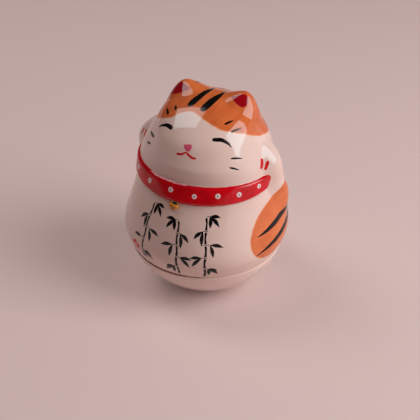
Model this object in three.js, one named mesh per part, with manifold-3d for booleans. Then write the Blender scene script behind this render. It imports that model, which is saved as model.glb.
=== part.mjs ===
// A small self-righting ceramic lucky cat: a hollow glazed body glued onto a round weighted bowl.
// Millimetres, +Z up. The foot stands on z = 0, the cat faces -Y and its own left side is +X.
import * as THREE from 'three';
import * as BufferGeometryUtils from 'three/addons/utils/BufferGeometryUtils.js';
import Module from 'manifold-3d';

const wasm = await Module();
wasm.setup();

// Bowl and seam
const footRadius = 5;          // unglazed flat that the figure stands still on
const seamRadius = 27.8;       // bowl and body share this radius where they are glued
const seamHeight = 18.3;       // top of the bowl's rim
const bowlFlankDegrees = 78;   // steepness of the bowl's side at its rim
const bowlFullness = 0.56;     // weight of the side's curve: 0 is a straight cone, larger is rounder
const bowlWall = 4;
const glueThickness = 0.6;
const glueRecess = 0.5;        // the glue lies this far inside the glazed edges
const lipHeight = 3;           // locating lip of the bowl, up inside the body
const lipWall = 2.2;
const lipClearance = 0.5;      // from the lip to the inside of the body

// Body and head, as half widths (side to side) and half depths (front to back)
const shellWall = 2.2;
const bellyHeight = 26.5;
const bellyRadius = 30.1;
const shoulderHeight = 37;
const shoulderHalfWidth = 27.2;
const shoulderHalfDepth = 27.6;
const neckHeight = 46.5;
const neckHalfWidth = 24.8;
const neckHalfDepth = 23.2;
const cheekHeight = 55;
const cheekHalfWidth = 24;
const cheekHalfDepth = 20.8;
const templeHeight = 64.5;
const templeHalfWidth = 19.4;
const templeHalfDepth = 17.8;
const browHeight = 72;
const browHalfWidth = 13.9;
const browHalfDepth = 11.3;
const crownHeight = 75.5;
const headSetBack = 3.2;       // the top of the head lies this far behind the body's middle

// Face, fuller than the plain sections from the chin to the forehead
const faceProud = 3.2;
const faceStart = 52;          // it starts just under the collar's upper edge
const chinHeight = 59;         // and has its full depth from here
const noseHeight = 64.5;       // to here
const foreheadHeight = 74.5;   // and has run out here

// Collar band
const collarBottom = 46.7;
const collarTop = 52.8;
const collarProud = 1;
const collarEdge = 0.9;        // rounded step along each edge
const collarFrontDegrees = 82; // round from the cat's front, where an arm covers it
const collarBackDegrees = 122; // round to where it comes out behind the arm
const collarCorner = 2.6;      // rounding of its ends

// Arms, raised so that the paws lie against the cheeks
const pawAngleDegrees = 92;    // round from the cat's front
const pawHeight = 55.5;        // middle of the paw's round end
const elbowAngleDegrees = 105;
const elbowHeight = 42.5;
const armHalfWidth = 7.8;
const pawProud = 3.4;
const elbowProud = 3.6;
const armRunOut = 13;          // below the elbow, where the arm has died into the belly
const armSoftness = 1.8;       // how gently the arm's sides run out into the body

// Ears
const earLeanDegrees = 28;     // out from straight up, seen from the middle of the head
const earSetBackDegrees = 9;
const leftEarRise = 4.3;       // made by hand, so the cat's right ear is a little lower
const rightEarRise = 3.8;
const earOuterReach = 11;      // from the tip to where the ear runs out into the head
const earInnerReach = 7.5;
const earFrontReach = 5;
const earBackReach = 10.3;
const earTipRounding = 0.3;    // share of those reaches
const earSharpness = 1.4;      // 1 is a straight cone, larger hollows its sides

// Bell under the collar, in the same casting
const bellRadius = 1.9;
const bellDrop = 1.5;          // its middle below the collar's lower edge
const bellSink = 0.5;          // its middle inside the surface that it sits on
const bellAngleDegrees = -3;   // hand placed, a little to the cat's right

// Ballast
const cementLevel = 15;        // top of the cement poured into the bowl
const cementGap = 0.3;         // it has shrunk this much from the bowl's side
const slugRadius = 13;
const slugThickness = 8;
const slugGap = 0.3;           // round the slug's edge in its pocket

// Fineness of the surfaces
const columnCount = 72;
const bowlRowCount = 9;
const innerRowCount = 12;
const outerRows = { belly: 11, collarEdge: 3, collarFace: 2, cheeks: 7, temples: 7, crown: 13 };
const bellColumns = 20;
const bellRows = 14;
const curveTension = 0.5;
const tinyStep = 0.001;        // of a curve's length, for its slope
const mergeDistance = 1e-4;

const degree = Math.PI / 180;
const shellBase = seamHeight + glueThickness;
const shellMouthRadius = seamRadius - shellWall;
const lipOuterRadius = shellMouthRadius - lipClearance;
const lipInnerRadius = lipOuterRadius - lipWall;
const smoothStep = THREE.MathUtils.smoothstep;

// The body's section at any height: x is its half width, y its half depth, z its height. The point past the crown
// mirrors the brow, so that the curve closes level over the head.
const stations = [
  new THREE.Vector3(seamRadius, seamRadius, shellBase),
  new THREE.Vector3(bellyRadius, bellyRadius, bellyHeight),
  new THREE.Vector3(shoulderHalfWidth, shoulderHalfDepth, shoulderHeight),
  new THREE.Vector3(neckHalfWidth, neckHalfDepth, neckHeight),
  new THREE.Vector3(cheekHalfWidth, cheekHalfDepth, cheekHeight),
  new THREE.Vector3(templeHalfWidth, templeHalfDepth, templeHeight),
  new THREE.Vector3(browHalfWidth, browHalfDepth, browHeight),
  new THREE.Vector3(0, 0, crownHeight),
  new THREE.Vector3(-browHalfWidth, -browHalfDepth, browHeight),
];
const sections = new THREE.CatmullRomCurve3(stations, false, 'catmullrom', curveTension);
const spans = stations.length - 1;
const browShare = (spans - 2) / spans;
const crownShare = (spans - 1) / spans;

function setBack(height) {
  return headSetBack * smoothStep(height, neckHeight, templeHeight);
}

// Where along a curve a growing value reaches its target, by halving.
function shareWhere(valueAt, target, end) {
  const halvings = 40;
  let low = 0;
  let high = end;
  for (let step = 0; step < halvings; step += 1) {
    const middle = (low + high) / 2;
    if (valueAt(middle) < target) low = middle;
    else high = middle;
  }
  return (low + high) / 2;
}

function shareAt(height) {
  return shareWhere((share) => sections.getPoint(share).z, height, crownShare);
}

// Evenly spaced values from the first on, without the last.
function valuesBetween(from, to, count) {
  return Array.from({ length: count }, (_, i) => from + (to - from) * i / count);
}

function roundedStep(x) {
  const inside = 1 - THREE.MathUtils.clamp(x, 0, 1);
  return Math.sqrt(1 - inside * inside);
}

// How far a place lies inside a band with rounded corners: middle and half are its centre and half length.
function insideBand(along, height, middle, half) {
  const tall = (collarTop - collarBottom) / 2;
  const across = Math.abs(along - middle) - (half - collarCorner);
  const up = Math.abs(height - (collarTop + collarBottom) / 2) - (tall - collarCorner);
  const outside = Math.hypot(Math.max(across, 0), Math.max(up, 0));
  return collarCorner - outside - Math.min(Math.max(across, up), 0);
}

// Relief of the collar: one band across the front and one across the back, each a step with rounded edges.
function collarRelief(turn, height) {
  const along = Math.abs(turn) * neckHalfWidth;
  const front = collarFrontDegrees * degree * neckHalfWidth;
  const back = (180 - collarBackDegrees) * degree * neckHalfWidth;
  const inside = Math.max(
    insideBand(along, height, 0, front),
    insideBand(along, height, Math.PI * neckHalfWidth, back),
  );
  return collarProud * roundedStep(inside / collarEdge);
}

// Relief of an arm: a round bar lying on the body from the elbow to the paw, with a long run-out below the elbow.
function armRelief(turn, height) {
  const away = (Math.abs(turn) - elbowAngleDegrees * degree) * neckHalfWidth;
  const pawAway = (pawAngleDegrees - elbowAngleDegrees) * degree * neckHalfWidth;
  const rise = pawHeight - elbowHeight;
  const above = height - elbowHeight;
  const length = pawAway * pawAway + rise * rise;
  const share = THREE.MathUtils.clamp((away * pawAway + above * rise) / length, 0, 1);
  const stretch = above < 0 ? armHalfWidth / armRunOut : 1;
  const distance = Math.hypot(away - share * pawAway, (above - share * rise) * stretch);
  const across = Math.max(0, 1 - (distance / armHalfWidth) ** 2) ** armSoftness;
  return across * THREE.MathUtils.lerp(elbowProud, pawProud, share);
}

// Relief of the face: fullest straight ahead, and none at the sides of the head.
function faceRelief(turn, height) {
  const ahead = Math.max(0, Math.cos(turn));
  const rise = smoothStep(height, faceStart, chinHeight) * (1 - smoothStep(height, noseHeight, foreheadHeight));
  return faceProud * rise * ahead * ahead;
}

// How far a point of the head is pushed out along an ear's own axis. The ear is a soft, flattened cone.
function earPush(point, side) {
  const middle = new THREE.Vector3(0, headSetBack, cheekHeight);
  const lean = earLeanDegrees * degree;
  const back = earSetBackDegrees * degree;
  const axis = new THREE.Vector3(side * Math.sin(lean), Math.sin(back), Math.cos(lean) * Math.cos(back)).normalize();
  const outward = new THREE.Vector3(side, 0, 0).addScaledVector(axis, -side * axis.x).normalize();
  const forward = new THREE.Vector3(0, -1, 0).addScaledVector(axis, axis.y);
  forward.addScaledVector(outward, -forward.dot(outward)).normalize();
  const from = point.clone().sub(middle);
  if (from.dot(axis) < 0) return new THREE.Vector3();
  const out = from.dot(outward);
  const sideways = out / (out > 0 ? earOuterReach : earInnerReach);
  const ahead = from.dot(forward);
  const fore = ahead / (ahead > 0 ? earFrontReach : earBackReach);
  const distance = Math.sqrt(sideways * sideways + fore * fore + earTipRounding * earTipRounding);
  const height = Math.max(0, 1 - distance) / (1 - earTipRounding);
  const rise = side > 0 ? leftEarRise : rightEarRise;
  return axis.multiplyScalar(rise * height ** earSharpness);
}

// A point on the outside of the body. turn is the angle round from the front, towards the cat's left.
function outsidePoint(share, turn) {
  const section = sections.getPoint(share);
  const height = section.z;
  const across = new THREE.Vector3(Math.sin(turn), -Math.cos(turn), 0);
  const point = new THREE.Vector3(section.x * across.x, section.y * across.y + setBack(height), height);
  const relief = Math.max(collarRelief(turn, height), armRelief(turn, height), faceRelief(turn, height));
  point.addScaledVector(across, relief);
  if (height > cheekHeight) {
    point.add(earPush(point, 1)).add(earPush(point, -1));
  }
  return point;
}

// A point on the inside of the body, one wall inside the plain sections. The casting is hollow behind the face too.
function insidePoint(share, turn) {
  const section = sections.getPoint(share);
  const ahead = sections.getPoint(share + tinyStep).sub(section);
  const run = Math.hypot(ahead.x, ahead.z);
  const level = share === 0 ? 1 : ahead.z / run;
  const rise = share === 0 ? 0 : shellWall * ahead.x / run;
  const halfWidth = Math.max(section.x - shellWall * level, 0);
  const halfDepth = Math.max(section.y - shellWall * level, 0);
  const across = new THREE.Vector3(Math.sin(turn), -Math.cos(turn), 0);
  const point = new THREE.Vector3(halfWidth * across.x, setBack(section.z) + halfDepth * across.y, section.z + rise);
  return point.addScaledVector(across, faceRelief(turn, section.z));
}

// A closed wall between an outer and an inner dome. Each is a list of rings from the mouth up, and a top point.
function domeShell(outerRings, outerTop, innerRings, innerTop) {
  const points = [];
  const faces = [];
  const addRing = (ring) => {
    points.push(...ring);
    return points.length - ring.length;
  };
  const band = (low, high, count) => {
    for (let i = 0; i < count; i += 1) {
      const next = (i + 1) % count;
      faces.push(low + i, low + next, high + next, low + i, high + next, high + i);
    }
  };
  const dome = (rings, top, outside) => {
    const starts = rings.map(addRing);
    const count = rings[0].length;
    for (let row = 1; row < starts.length; row += 1) {
      if (outside) band(starts[row - 1], starts[row], count);
      else band(starts[row], starts[row - 1], count);
    }
    const tip = points.push(top) - 1;
    const last = starts.at(-1);
    for (let i = 0; i < count; i += 1) {
      const next = (i + 1) % count;
      faces.push(...(outside ? [last + i, last + next, tip] : [last + next, last + i, tip]));
    }
    return starts[0];
  };
  const outerMouth = dome(outerRings, outerTop, true);
  const innerMouth = dome(innerRings, innerTop, false);
  band(innerMouth, outerMouth, outerRings[0].length);
  const geometry = new THREE.BufferGeometry().setFromPoints(points);
  geometry.setIndex(faces);
  return geometry;
}

function toSolid(geometry) {
  const bare = geometry.clone();
  bare.deleteAttribute('normal');
  bare.deleteAttribute('uv');
  const merged = BufferGeometryUtils.mergeVertices(bare, mergeDistance);
  return new wasm.Manifold(new wasm.Mesh({
    numProp: 3,
    vertProperties: new Float32Array(merged.attributes.position.array),
    triVerts: new Uint32Array(merged.index.array),
  }));
}

function toGeometry(solid) {
  const mesh = solid.getMesh();
  const geometry = new THREE.BufferGeometry();
  geometry.setAttribute('position', new THREE.BufferAttribute(mesh.vertProperties, 3));
  geometry.setIndex(new THREE.BufferAttribute(mesh.triVerts, 1));
  geometry.computeVertexNormals();
  return geometry;
}

function named(name, geometry, color, roughness, metalness) {
  const mesh = new THREE.Mesh(geometry, new THREE.MeshStandardMaterial({ color, roughness, metalness }));
  mesh.name = name;
  return mesh;
}

// The hollow body: belly, collar, head, ears and arms in one casting, open at the seam.
function bodyShell() {
  const heights = [
    ...valuesBetween(shellBase, collarBottom, outerRows.belly),
    ...valuesBetween(collarBottom, collarBottom + collarEdge, outerRows.collarEdge),
    ...valuesBetween(collarBottom + collarEdge, collarTop - collarEdge, outerRows.collarFace),
    ...valuesBetween(collarTop - collarEdge, collarTop, outerRows.collarEdge),
    ...valuesBetween(collarTop, templeHeight, outerRows.cheeks),
    ...valuesBetween(templeHeight, browHeight, outerRows.temples),
  ];
  const shares = [
    0,
    ...heights.slice(1).map(shareAt),
    ...valuesBetween(browShare, crownShare, outerRows.crown),
  ];
  const turns = valuesBetween(0, 2 * Math.PI, columnCount);
  const centred = turns.map((turn) => (turn > Math.PI ? turn - 2 * Math.PI : turn));
  const outerRings = shares.map((share) => centred.map((turn) => outsidePoint(share, turn)));
  const innerShares = valuesBetween(0, crownShare, innerRowCount);
  const innerRings = innerShares.map((share) => centred.map((turn) => insidePoint(share, turn)));
  const shell = toSolid(domeShell(
    outerRings, new THREE.Vector3(0, headSetBack, crownHeight),
    innerRings, new THREE.Vector3(0, headSetBack, crownHeight - shellWall),
  ));

  const bellHeight = collarBottom - bellDrop;
  const bellTurn = bellAngleDegrees * degree;
  const seat = outsidePoint(shareAt(bellHeight), bellTurn);
  const bell = new THREE.SphereGeometry(bellRadius, bellColumns, bellRows);
  bell.translate(seat.x - bellSink * Math.sin(bellTurn), seat.y + bellSink * Math.cos(bellTurn), bellHeight);
  return toGeometry(shell.add(toSolid(bell)));
}

// The bowl's outer side, from the edge of its foot up to its rim, as a conic curve.
function bowlSide(share) {
  const corner = seamRadius - seamHeight / Math.tan(bowlFlankDegrees * degree);
  const start = (1 - share) ** 2;
  const middle = 2 * bowlFullness * share * (1 - share);
  const end = share ** 2;
  const sum = start + middle + end;
  return new THREE.Vector2(
    (start * footRadius + middle * corner + end * seamRadius) / sum,
    end * seamHeight / sum,
  );
}

// A curve that lies a distance inside the bowl's outer side. Where it would pass the lip's bore, it runs straight up.
function bowlInside(share, depth) {
  const here = bowlSide(share);
  const along = bowlSide(share + tinyStep).sub(here).normalize();
  const bore = lipInnerRadius + bowlWall - depth;
  return new THREE.Vector2(Math.min(here.x - depth * along.y, bore), here.y + depth * along.x);
}

// A profile of radius and height, turned about the upright axis.
function turned(profile) {
  return new THREE.LatheGeometry(profile, columnCount).rotateX(Math.PI / 2);
}

function baseBowl() {
  const innerEnd = shareWhere((share) => bowlInside(share, bowlWall).x, lipInnerRadius, 1);
  const outside = valuesBetween(0, 1, bowlRowCount).map(bowlSide);
  const inside = valuesBetween(0, innerEnd, bowlRowCount - 2).map((share) => bowlInside(share, bowlWall));
  inside.push(bowlInside(innerEnd, bowlWall).setX(lipInnerRadius));
  return turned([
    new THREE.Vector2(0, 0),
    ...outside,
    new THREE.Vector2(seamRadius, seamHeight),
    new THREE.Vector2(lipOuterRadius, seamHeight),
    new THREE.Vector2(lipOuterRadius, seamHeight + lipHeight),
    new THREE.Vector2(lipInnerRadius, seamHeight + lipHeight),
    ...inside.reverse(),
    new THREE.Vector2(0, bowlWall),
  ]);
}

// Cement poured round the iron slug, up to its top.
function cementBed() {
  const depth = bowlWall + cementGap;
  const rim = shareWhere((share) => bowlInside(share, depth).y, cementLevel, 1);
  const side = valuesBetween(0, rim, bowlRowCount - 1).map((share) => bowlInside(share, depth));
  const pocketRadius = slugRadius + slugGap;
  const pocketFloor = cementLevel - slugThickness;
  return turned([
    new THREE.Vector2(0, bowlWall),
    new THREE.Vector2(footRadius - cementGap, bowlWall),
    ...side,
    bowlInside(rim, depth).setY(cementLevel),
    new THREE.Vector2(pocketRadius, cementLevel),
    new THREE.Vector2(pocketRadius, pocketFloor),
    new THREE.Vector2(0, pocketFloor),
  ]);
}

function ballastSlug() {
  const floor = cementLevel - slugThickness;
  return turned([
    new THREE.Vector2(0, floor),
    new THREE.Vector2(slugRadius, floor),
    new THREE.Vector2(slugRadius, cementLevel),
    new THREE.Vector2(0, cementLevel),
  ]);
}

function seamGlue() {
  const outer = seamRadius - glueRecess;
  const profile = [
    new THREE.Vector2(shellMouthRadius, seamHeight),
    new THREE.Vector2(outer, seamHeight),
    new THREE.Vector2(outer, shellBase),
    new THREE.Vector2(shellMouthRadius, shellBase),
    new THREE.Vector2(shellMouthRadius, seamHeight),
  ];
  return turned(profile);
}

const group = new THREE.Group();
group.add(named('body_shell', bodyShell(), '#f1ece4', 0.15, 0));
group.add(named('base_bowl', baseBowl(), '#efe9df', 0.15, 0));
group.add(named('seam_glue', seamGlue(), '#7d5a3c', 0.7, 0));
group.add(named('cement_bed', cementBed(), '#a9a59c', 0.95, 0));
group.add(named('ballast_slug', ballastSlug(), '#3f4043', 0.6, 1));

export default group;
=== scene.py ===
# A small self-righting ceramic lucky cat: its glaze, brushwork and seam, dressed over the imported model.
# Metres, +Z up. The cat faces -Y and its own left side is +X.
import math

import bmesh
import bpy
import numpy as np
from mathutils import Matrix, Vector
from mathutils.bvhtree import BVHTree
from mathutils.kdtree import KDTree


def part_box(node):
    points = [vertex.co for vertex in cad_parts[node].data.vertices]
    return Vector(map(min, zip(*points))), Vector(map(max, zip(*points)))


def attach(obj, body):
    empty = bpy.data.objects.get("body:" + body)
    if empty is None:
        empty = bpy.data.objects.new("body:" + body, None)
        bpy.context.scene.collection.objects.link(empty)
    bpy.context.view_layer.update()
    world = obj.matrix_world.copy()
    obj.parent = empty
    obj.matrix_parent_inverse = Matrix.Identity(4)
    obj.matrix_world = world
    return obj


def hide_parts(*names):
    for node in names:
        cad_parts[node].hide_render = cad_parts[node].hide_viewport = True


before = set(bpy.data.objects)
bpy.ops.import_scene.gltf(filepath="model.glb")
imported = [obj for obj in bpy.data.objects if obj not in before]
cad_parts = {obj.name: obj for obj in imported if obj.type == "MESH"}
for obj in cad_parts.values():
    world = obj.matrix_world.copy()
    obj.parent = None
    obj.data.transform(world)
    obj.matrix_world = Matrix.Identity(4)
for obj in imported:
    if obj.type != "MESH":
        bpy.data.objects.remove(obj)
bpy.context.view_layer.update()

mm = 0.001
upright = Vector((0, 0, 1))


# Small helpers for working as by hand

def deselectAll():
    bpy.ops.object.select_all(action="DESELECT")


def pick(piece):
    deselectAll()
    piece.select_set(True)
    bpy.context.view_layer.objects.active = piece


def justAdded(name):
    piece = bpy.context.object
    piece.name = name
    piece.data.name = name
    return piece


def addCircle(name, columns, radius, height=0.0, fill="NOTHING"):  # metres
    deselectAll()
    bpy.ops.mesh.primitive_circle_add(
        vertices=columns, radius=radius, fill_type=fill, location=(0, 0, height)
    )
    return justAdded(name)


def editMode(selectWhat="VERT", action="SELECT"):
    bpy.ops.object.mode_set(mode="EDIT")
    bpy.ops.mesh.select_mode(type=selectWhat)
    bpy.ops.mesh.select_all(action=action)


def objectMode():
    bpy.ops.object.mode_set(mode="OBJECT")


def applyModifier(piece, kind, **settings):
    pick(piece)
    modifier = piece.modifiers.new(kind.title(), kind)
    for key, value in settings.items():
        setattr(modifier, key, value)
    bpy.ops.object.modifier_apply(modifier=modifier.name)


def settle(piece):  # its place and size go into its mesh
    pick(piece)
    bpy.ops.object.transform_apply(location=True, rotation=True, scale=True)


def extrudeAlong(rings):  # in edit mode; a ring is its half width, half depth, height and set back
    for before, after in zip(rings, rings[1:]):
        rise, back = after[2] - before[2], after[3] - before[3]
        bpy.ops.mesh.extrude_region_move(TRANSFORM_OT_translate={"value": (0, back * mm, rise * mm)})
        bpy.ops.transform.resize(
            value=(after[0] / before[0], after[1] / before[1], 1),
            center_override=(0, after[3] * mm, after[2] * mm),
        )


def finishForm(piece):  # from edit mode: its faces turned outwards
    bpy.ops.mesh.select_all(action="SELECT")
    bpy.ops.mesh.normals_make_consistent(inside=False)
    objectMode()
    settle(piece)


def shadeSmooth(piece, sharpFrom=None):  # edges that turn by more degrees than this stay sharp
    pick(piece)
    if sharpFrom is None:
        bpy.ops.object.shade_smooth()
    else:
        bpy.ops.object.shade_smooth_by_angle(angle=math.radians(sharpFrom))


def joined(pieces, name):
    deselectAll()
    for piece in pieces:
        piece.select_set(True)
    bpy.context.view_layer.objects.active = pieces[0]
    if len(pieces) > 1:
        bpy.ops.object.join()
    return justAdded(name)


def selectBoundary(piece):  # in edit mode: the edges of the one open rim
    mesh = bmesh.from_edit_mesh(piece.data)
    for edge in mesh.edges:
        edge.select = edge.is_boundary
    mesh.select_flush_mode()
    bmesh.update_edit_mesh(piece.data)


def pointsOf(piece):
    points = np.empty(len(piece.data.vertices) * 3)
    piece.data.vertices.foreach_get("co", points)
    return points.reshape(-1, 3)


def setPoints(piece, points):
    piece.data.vertices.foreach_set("co", np.ascontiguousarray(points).ravel())
    piece.data.update()


def smoothStep(value, low, high):
    share = np.clip((value - low) / (high - low), 0, 1)
    return share * share * (3 - 2 * share)


def throughPoints(points, share):  # a smooth curve through its points; share runs from 0 to 1
    points = np.asarray(points, float)
    spans = len(points) - 1
    place = min(max(share, 0), 1) * spans
    first = min(int(place), spans - 1)
    t = place - first
    before = points[first - 1] if first > 0 else 2 * points[0] - points[1]
    after = points[first + 2] if first + 2 <= spans else 2 * points[-1] - points[-2]
    start, end = points[first], points[first + 1]
    leave, arrive = (end - before) / 2, (after - start) / 2
    return (
        (2 * t**3 - 3 * t**2 + 1) * start + (t**3 - 2 * t**2 + t) * leave
        + (3 * t**2 - 2 * t**3) * end + (t**3 - t**2) * arrive
    )


# The body: belly, collar, arms, head and ears are one casting. Millimetres; a section is its half width,
# half depth and height.

bodyForm = {
    "seam": (27.8, 27.8, 18.9),
    "belly": (30.1, 30.1, 26.5),
    "shoulder": (27.2, 27.6, 37.0),
    "neck": (24.8, 23.2, 46.5),
    "cheek": (24.0, 20.8, 55.0),
    "temple": (19.4, 17.8, 64.5),
    "brow": (13.9, 11.3, 72.0),
    "crown": (0.0, 0.0, 75.5),
    "headSetBack": 3.2,       # the top of the head lies this far behind the body's middle
    "wall": 2.2,
    "edgeRounding": 0.25,     # of the glazed edge at the seam
}
collar = {
    "bottom": 46.7,
    "top": 52.8,
    "proud": 1.0,
    "edge": 0.9,              # rounded step along each edge
    "roundness": 0.62,        # of that step; 0.5 would be a quarter circle
    "frontEnd": 84.0,         # degrees round to where an arm covers it
    "backStart": 122.0,       # degrees round to where it comes out behind the arm
    "cornerRadius": 2.6,
}
arm = {
    "pawTurn": 92.0,          # degrees round from the cat's front
    "pawHeight": 55.5,
    "elbowTurn": 105.0,
    "elbowHeight": 42.5,
    "halfWidth": 7.8,
    "pawProud": 3.4,
    "elbowProud": 3.6,
    "runOut": 13.0,           # below the elbow, where the arm dies into the belly
    "softness": 1.8,          # how gently its sides run out
}
ear = {
    "lean": 28.0,             # degrees out from straight up
    "setBack": 9.0,
    "leftRise": 4.22,         # made by hand, so the cat's right ear is a little lower
    "rightRise": 3.8,
    "outerReach": 11.0,       # from its axis to where it has run out
    "innerReach": 7.5,
    "frontReach": 6.6,
    "backReach": 10.3,
    "tipRounding": 0.3,
    "sharpness": 1.4,
}
faceForm = {                  # fuller than the plain sections from the chin to the forehead
    "proud": 3.2,
    "start": 52.0,            # heights: it starts just under the collar's upper edge,
    "chin": 59.0,             # has its full depth from the chin
    "nose": 64.5,             # to the nose,
    "forehead": 74.5,         # and has run out over the forehead
}
roundedEdge = ((1.0, 0.0), (0.45, 0.12), (0.1, 0.5))  # in and along, as shares of an edge's rounding
bodyMesh = {
    "columns": 80,
    "tableSteps": 4000,       # along the outline, for reading sizes off it
    "bellyStep": 2.4,
    "collarStep": 0.45,
    "collarZone": 1.19,       # each side of the collar's edges, where the rings lie close
    "headStep": 1.5,
    "capRadius": 6.0,         # the crown inside this is closed with a grid
    "innerRings": 11,
    "innerReach": 0.97,       # share of the outline's length that the inner wall follows
    "innerTop": 1.0,          # half width of its last ring, which is closed
    "slopeStep": 0.5,         # over which the outline's lean is read
}


def sectionTable():  # half width, half depth, height and length along the outline, from the seam to the crown
    names = ("seam", "belly", "shoulder", "neck", "cheek", "temple", "brow", "crown")
    stations = [bodyForm[name] for name in names]
    width, depth, height = bodyForm["brow"]
    stations.append((-width, -depth, height))  # mirrored, so that the curve closes level
    count = bodyMesh["tableSteps"]
    end = (len(stations) - 2) / (len(stations) - 1)
    rows = np.array([throughPoints(stations, end * i / count) for i in range(count + 1)])
    steps = np.hypot(np.diff(rows[:, 0]), np.diff(rows[:, 2]))
    length = np.concatenate([[0], np.cumsum(steps)])
    return rows[:, 0], rows[:, 1], rows[:, 2], length


tableWidth, tableDepth, tableHeight, tableLength = sectionTable()


def sectionAt(length):  # half width, half depth and height, this far along the outline from the seam
    return [float(np.interp(length, tableLength, column)) for column in (tableWidth, tableDepth, tableHeight)]


def widthAt(height):
    return np.interp(height, tableHeight, tableWidth)


def depthAt(height):
    return np.interp(height, tableHeight, tableDepth)


def backAt(height):
    return bodyForm["headSetBack"] * smoothStep(height, bodyForm["neck"][2], bodyForm["temple"][2])


def roundedStep(value):
    inside = 1 - np.clip(value, 0, 1)
    return (1 - inside * inside) ** collar["roundness"]


def insideBand(away, height, low, high, start, end, corner):
    # Distance in from the outline of a band with rounded corners, negative outside it.
    middle, half = (start + end) / 2, (end - start) / 2
    centre, tall = (low + high) / 2, (high - low) / 2
    across = np.abs(away - middle) - (half - corner)
    along = np.abs(height - centre) - (tall - corner)
    outside = np.hypot(np.maximum(across, 0), np.maximum(along, 0))
    return corner - outside - np.minimum(np.maximum(across, along), 0)


def collarInside(turn, height, drop=0.0):  # millimetres in from the collar's outline
    radius = bodyForm["neck"][0]
    away = np.abs(turn) * radius
    low, high = collar["bottom"] - drop, collar["top"]
    frontEnd = math.radians(collar["frontEnd"]) * radius
    backStart = math.radians(collar["backStart"]) * radius
    far = math.pi * radius
    corner = collar["cornerRadius"]
    front = insideBand(away, height, low, high, -frontEnd, frontEnd, corner)
    back = insideBand(away, height, low, high, backStart, 2 * far - backStart, corner)
    return np.maximum(front, back)


def armRelief(turn, height):
    radius = bodyForm["neck"][0]
    away = (np.abs(turn) - math.radians(arm["elbowTurn"])) * radius
    pawAway = math.radians(arm["pawTurn"] - arm["elbowTurn"]) * radius
    rise = arm["pawHeight"] - arm["elbowHeight"]
    above = height - arm["elbowHeight"]
    share = np.clip((away * pawAway + above * rise) / (pawAway**2 + rise**2), 0, 1)
    stretch = np.where(above < 0, arm["halfWidth"] / arm["runOut"], 1)
    distance = np.hypot(away - share * pawAway, (above - share * rise) * stretch)
    across = np.maximum(0, 1 - (distance / arm["halfWidth"]) ** 2) ** arm["softness"]
    return across * (arm["elbowProud"] + share * (arm["pawProud"] - arm["elbowProud"]))


def faceRelief(turn, height):  # fullest straight ahead, and none at the sides of the head
    start = smoothStep(height, faceForm["start"], faceForm["chin"])
    end = smoothStep(height, faceForm["nose"], faceForm["forehead"])
    return faceForm["proud"] * (start * (1 - end)) * np.maximum(0, np.cos(turn)) ** 2


def earPush(points, side):
    middle = np.array([0, bodyForm["headSetBack"], bodyForm["cheek"][2]])
    lean, back = math.radians(ear["lean"]), math.radians(ear["setBack"])
    axis = Vector((side * math.sin(lean), math.sin(back), math.cos(lean) * math.cos(back))).normalized()
    outward = Vector((side, 0, 0)) - axis * (side * axis.x)
    outward.normalize()
    forward = Vector((0, -1, 0)) + axis * axis.y
    forward = (forward - outward * forward.dot(outward)).normalized()
    away = points - middle
    out, ahead = away @ np.array(outward), away @ np.array(forward)
    sideways = out / np.where(out > 0, ear["outerReach"], ear["innerReach"])
    fore = ahead / np.where(ahead > 0, ear["frontReach"], ear["backReach"])
    distance = np.sqrt(sideways**2 + fore**2 + ear["tipRounding"] ** 2)
    height = np.maximum(0, 1 - distance) / (1 - ear["tipRounding"])
    height = np.where((away @ np.array(axis) > 0), height, 0)
    rise = ear["leftRise"] if side > 0 else ear["rightRise"]
    return (rise * height ** ear["sharpness"])[:, None] * np.array(axis)


def turnOf(points):  # radians round from the front, towards the cat's left
    height = points[:, 2]
    ratio = depthAt(height) / np.maximum(widthAt(height), 1e-6)
    ratio = np.where(widthAt(height) > 1, ratio, 1)
    return np.arctan2(points[:, 0] * ratio, backAt(height) - points[:, 1])


def bodyRings():  # from the seam to the crown's grid
    rounding = bodyForm["edgeRounding"]
    width, depth, base = bodyForm["seam"]
    rings = [
        (width - rounding * across, depth - rounding * across, base + rounding * up)
        for across, up in roundedEdge
    ]
    place = rounding * 1.1  # just past the rounding
    while True:
        ring = sectionAt(place)
        if ring[0] < bodyMesh["capRadius"]:
            return [(*ring, float(backAt(ring[2]))) for ring in rings]
        rings.append(ring)
        height = ring[2]
        if min(abs(height - collar["bottom"]), abs(height - collar["top"])) < bodyMesh["collarZone"]:
            place += bodyMesh["collarStep"]
        else:
            place += bodyMesh["bellyStep"] if height < collar["bottom"] else bodyMesh["headStep"]


def addBodyShell():
    rings = bodyRings()
    shell = addCircle("glazed_body", bodyMesh["columns"], rings[0][0] * mm, rings[0][2] * mm)
    editMode()
    extrudeAlong(rings)
    bpy.ops.mesh.fill_grid(span=bodyMesh["columns"] // 4)
    finishForm(shell)
    domeCrown(shell, rings[-1])
    applyModifier(shell, "SUBSURF", levels=2, render_levels=2)
    return shell


def domeCrown(shell, rim):  # the grid over the crown follows the head's curve
    points = pointsOf(shell) / mm
    width, depth, height, back = rim
    spread = np.hypot(points[:, 0], (points[:, 1] - back) * width / depth)
    slack = 0.01
    inCap = (points[:, 2] > height - slack) & (spread < width - slack)
    points[inCap, 2] = np.interp(spread[inCap], tableWidth[::-1], tableHeight[::-1])
    setPoints(shell, points * mm)


def pushOut(points, turn, out):  # away from the figure's axis
    points[:, 0] += out * np.sin(turn)
    points[:, 1] -= out * np.cos(turn)


def raiseRelief(shell):  # collar, arms, face and ears come out of the plain form
    points = pointsOf(shell) / mm
    height = points[:, 2]
    turn = turnOf(points)
    band = collar["proud"] * roundedStep(collarInside(turn, height) / collar["edge"])
    pushOut(points, turn, np.maximum(np.maximum(band, armRelief(turn, height)), faceRelief(turn, height)))
    head = height > bodyForm["cheek"][2]
    for side in (1, -1):
        push = earPush(points, side)
        points[head] += push[head]
    setPoints(shell, points * mm)


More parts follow.
